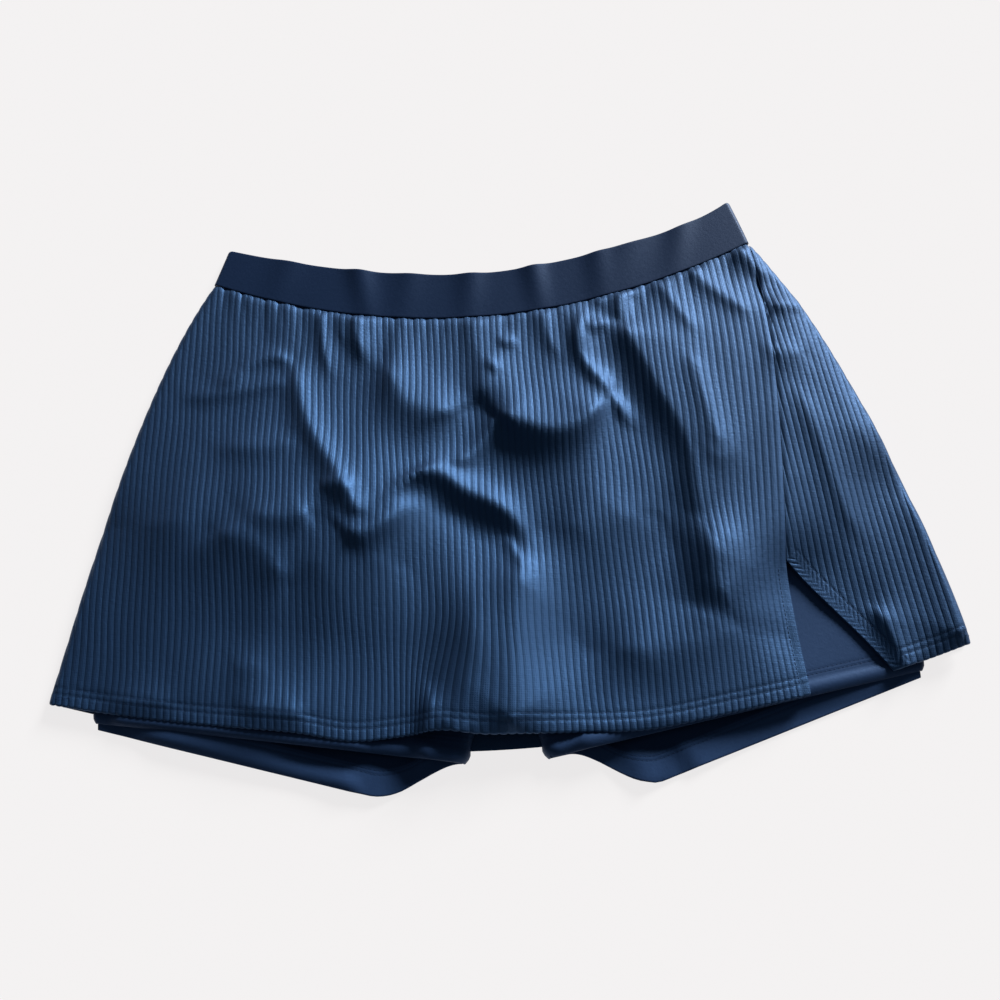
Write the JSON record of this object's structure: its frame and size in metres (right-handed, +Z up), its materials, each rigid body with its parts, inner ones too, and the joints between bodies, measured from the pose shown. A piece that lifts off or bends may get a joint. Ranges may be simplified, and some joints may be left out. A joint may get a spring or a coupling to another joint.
{
  "type": "tennis skort",
  "caption": "Knit tennis skort laid flat: ribbed A-line skirt with a side slit over smooth built-in shorts, on a wide elastic waistband.",
  "frame": {"origin": "bottom centre of the bounding box: the garment lies on the plane Z = 0", "axes": "+X across the garment, towards the side with the slit; +Y from hem to waist; +Z up, out of its front"},
  "size_m": [0.6918, 0.4812, 0.024],
  "materials": {
    "skirt_rib": "satin",
    "shorts_jersey": "satin",
    "waist_elastic": "matte"
  },
  "bodies": {
    "root": {"waistband": "waist_elastic", "skirt_front_panel": "skirt_rib", "skirt_side_panel": "skirt_rib", "skirt_back_panel": "skirt_rib", "shorts_front_left": "shorts_jersey", "shorts_front_right": "shorts_jersey", "shorts_back_left": "shorts_jersey", "shorts_back_right": "shorts_jersey"}
  },
  "joints": []
}
